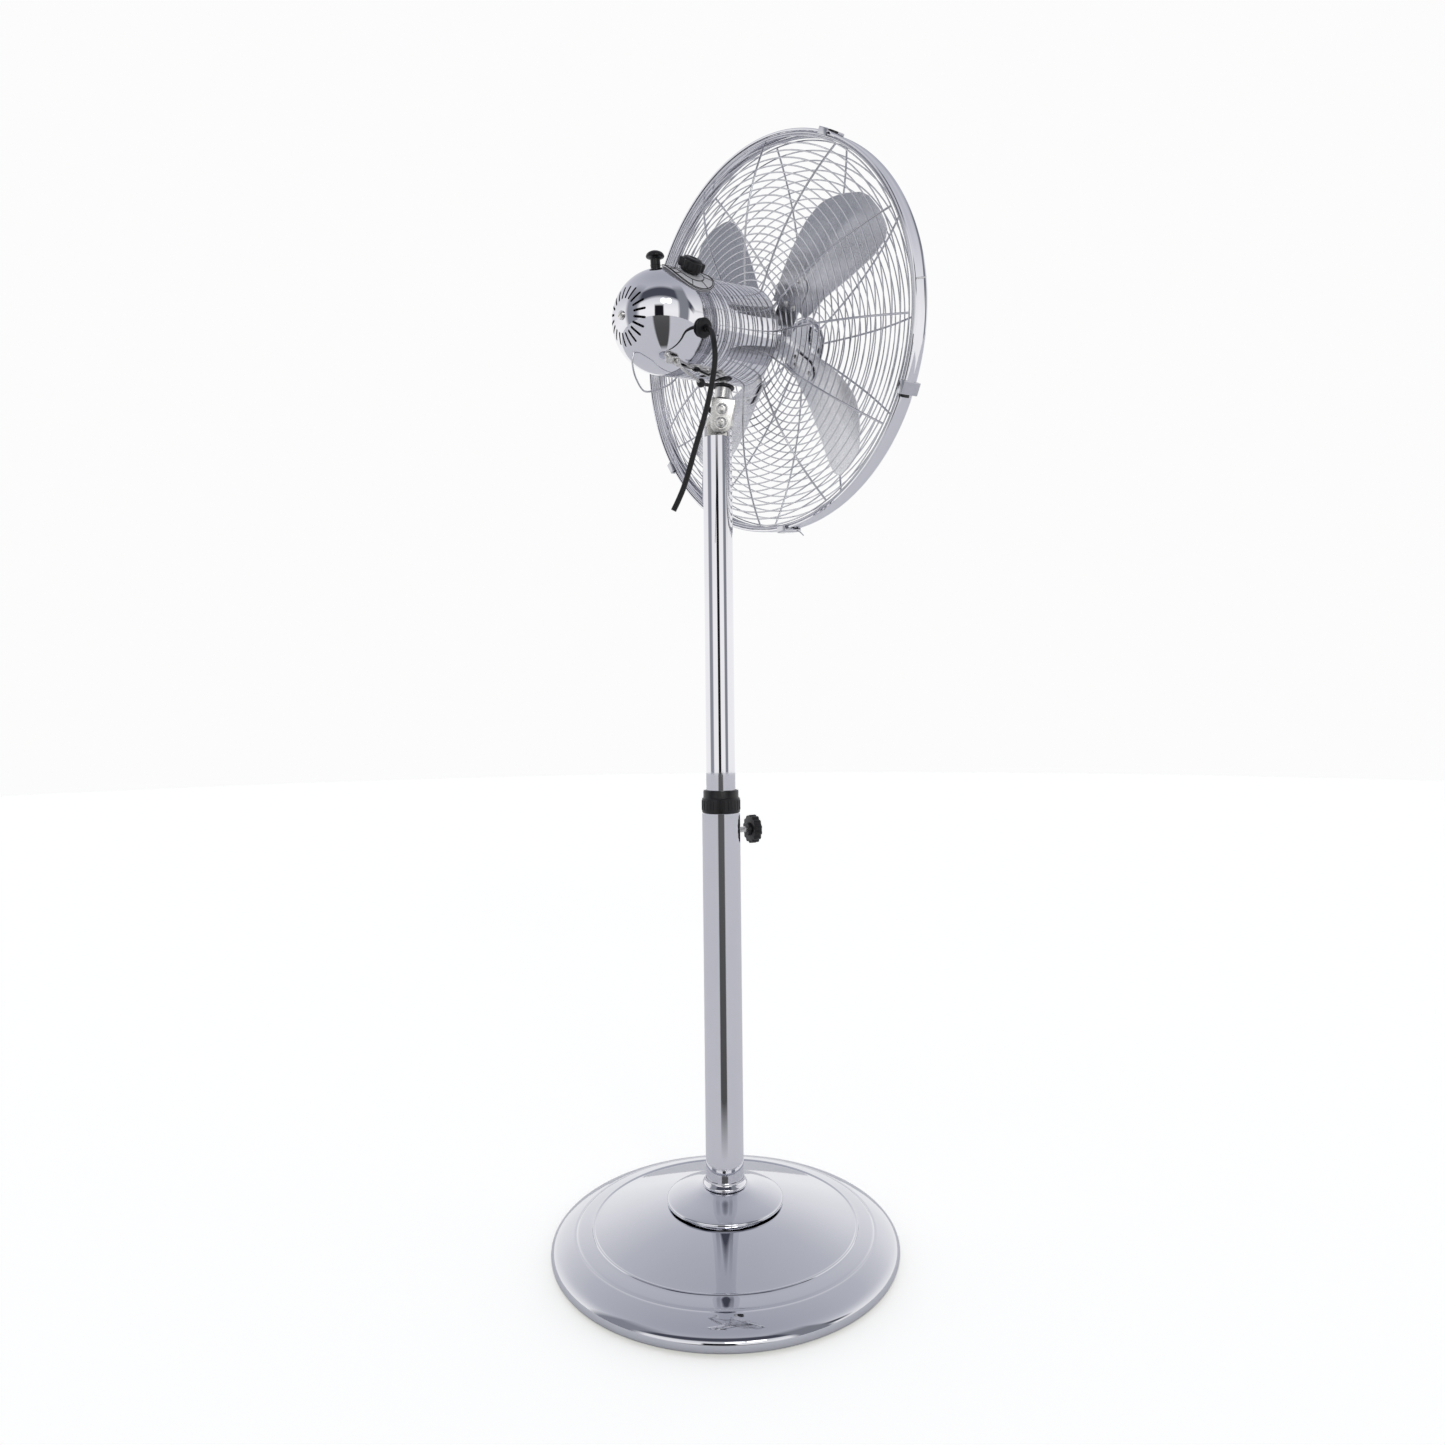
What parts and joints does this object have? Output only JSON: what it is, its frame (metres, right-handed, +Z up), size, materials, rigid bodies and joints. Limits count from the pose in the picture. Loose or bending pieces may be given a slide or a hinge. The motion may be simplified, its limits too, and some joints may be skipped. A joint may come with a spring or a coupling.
{
  "type": "pedestal fan",
  "caption": "Chrome pedestal fan with a round weighted base, telescopic pole, tilting and oscillating motor head, riveted metal blades and a wire guard.",
  "frame": {"origin": "centre of the underside of the base, on the pole axis, at floor level", "axes": "+Z up along the pole; with the neck straight the fan blows along -Y; as stored the head is turned 42 degrees towards +X"},
  "size_m": [0.4037, 0.4057, 1.2439],
  "materials": {
    "chrome": "mirror plated",
    "satin_steel": "satin plated",
    "dark_steel": "plain",
    "aluminium": "polished",
    "cast_iron": "as cast",
    "black_plastic": "moulded, slight sheen",
    "black_rubber": "plain",
    "copper": "enamelled copper wire",
    "brass": "sintered bush",
    "nylon": "moulded",
    "dial": "printed plate"
  },
  "bodies": {
    "base": {"floor_pad": "black_rubber", "ballast_disc": "cast_iron", "base_cover": "chrome", "clamp_bolt": "dark_steel", "tube_foot_plug": "dark_steel", "hub_dome": "chrome", "tube_foot_ring": "chrome", "lower_tube": "chrome", "collar": "black_plastic"},
    "height_clamp": {"height_knob": "black_plastic"},
    "pole": {"upper_tube": "chrome", "guide_sleeve": "nylon", "tongue_plug": "satin_steel"},
    "neck": {"neck_bracket": "satin_steel", "pivot_bolt": "satin_steel", "tilt_screw": "satin_steel", "neck_post": "satin_steel", "post_washer": "black_plastic", "swivel_disc": "black_plastic"},
    "tilt_clamp": {"tilt_lever": "black_plastic"},
    "head": {"housing_shell": "chrome", "dome_screw": "satin_steel", "front_cover": "chrome", "grille_nut": "black_plastic", "front_bearing": "brass", "motor_stator": "dark_steel", "front_winding": "copper", "rear_winding": "copper", "rear_bracket": "aluminium", "rear_bearing": "brass", "neck_bush": "brass", "gearbox_case": "dark_steel", "speed_switch": "black_plastic", "dial_plate": "dial", "cord_grommet": "black_rubber", "power_cord": "black_rubber", "cord_hook": "chrome", "rim_band": "chrome", "rear_grille": "chrome", "front_grille": "chrome", "front_badge": "chrome"},
    "speed_control": {"speed_knob": "black_plastic"},
    "clutch": {"clutch_plunger": "black_plastic"},
    "crank": {"crank_lever": "satin_steel"},
    "linkage": {"link_rod": "satin_steel"},
    "clip_a": {"clip_top": "satin_steel"},
    "clip_b": {"clip_side": "satin_steel"},
    "clip_c": {"clip_bottom": "satin_steel"},
    "clip_d": {"clip_far": "satin_steel"},
    "fan": {"motor_shaft": "dark_steel", "motor_rotor": "dark_steel", "worm": "brass", "blade_spider": "aluminium", "blade_1": "aluminium", "blade_2": "aluminium", "blade_3": "aluminium", "blade_4": "aluminium", "hub_nut": "satin_steel"},
    "gear": {"worm_wheel": "nylon"}
  },
  "joints": [
    {"name": "height_slide", "type": "slide", "parent": "base", "child": "pole", "axis": [0, 0, 1], "range_m": [-0.33, 0.02]},
    {"name": "height_knob_turn", "type": "hinge", "parent": "base", "child": "height_clamp", "pos_m": [0, 0, 0.468], "axis": [0.4399, -0.898, 0], "range_deg": [0, 270]},
    {"name": "neck_tilt", "type": "hinge", "parent": "pole", "child": "neck", "pos_m": [0, -0.0055, 0.935], "axis": [1, 0, 0], "range_deg": [-20, 5]},
    {"name": "tilt_lever_turn", "type": "hinge", "parent": "neck", "child": "tilt_clamp", "pos_m": [0, -0.0055, 0.935], "axis": [1, 0, 0], "range_deg": [-50, 0]},
    {"name": "oscillation", "type": "hinge", "parent": "neck", "child": "head", "pos_m": [0, -0.00401, 0.93518], "axis": [0, -0.1219, 0.9925], "range_deg": [-84, 0]},
    {"name": "fan_spin", "type": "hinge", "parent": "head", "child": "fan", "pos_m": [0, -0.01459, 1.02134], "axis": [-0.6559, 0.7466, -0.1114], "continuous": true},
    {"name": "worm_wheel_turn", "type": "hinge", "parent": "head", "child": "gear", "pos_m": [-0.03439, 0.04932, 1.01476], "axis": [-0.135, 0.0292, 0.9904], "continuous": true},
    {"name": "speed_knob_turn", "type": "hinge", "parent": "head", "child": "speed_control", "pos_m": [-0.08107, 0.02747, 1.05341], "axis": [-0.5272, -0.3474, 0.7755], "range_deg": [-240, 0]},
    {"name": "clutch_press", "type": "slide", "parent": "head", "child": "clutch", "axis": [-0.135, 0.0292, 0.9904], "range_m": [-0.0045, 0]},
    {"name": "crank_turn", "type": "hinge", "parent": "head", "child": "crank", "pos_m": [-0.09211, 0.04746, 0.96063], "axis": [-0.3154, -0.4052, -0.8581], "continuous": true},
    {"name": "rod_pivot", "type": "hinge", "parent": "crank", "child": "linkage", "pos_m": [-0.08696, 0.03977, 0.95958], "axis": [-0.3154, -0.4052, -0.8581], "continuous": true},
    {"name": "clip_top_latch", "type": "hinge", "parent": "head", "child": "clip_a", "pos_m": [-0.06628, -0.11322, 1.20474], "axis": [-0.5924, -0.6006, -0.537], "range_deg": [0, 60]},
    {"name": "clip_side_latch", "type": "hinge", "parent": "head", "child": "clip_b", "pos_m": [-0.10094, -0.18487, 0.92873], "axis": [0.4145, 0.2328, -0.8798], "range_deg": [0, 60]},
    {"name": "clip_bottom_latch", "type": "hinge", "parent": "head", "child": "clip_c", "pos_m": [0.04523, -0.07332, 0.81575], "axis": [0.7527, 0.658, -0.0224], "range_deg": [0, 60]},
    {"name": "clip_far_latch", "type": "hinge", "parent": "head", "child": "clip_d", "pos_m": [0.17899, 0.05982, 0.92041], "axis": [0.3154, 0.4052, 0.8581], "range_deg": [0, 60]}
  ],
  "couplings": [
    {"joint": "worm_wheel_turn", "follows": "fan_spin", "ratio": 0.041667},
    {"joint": "rod_pivot", "follows": "crank_turn", "ratio": -1}
  ]
}
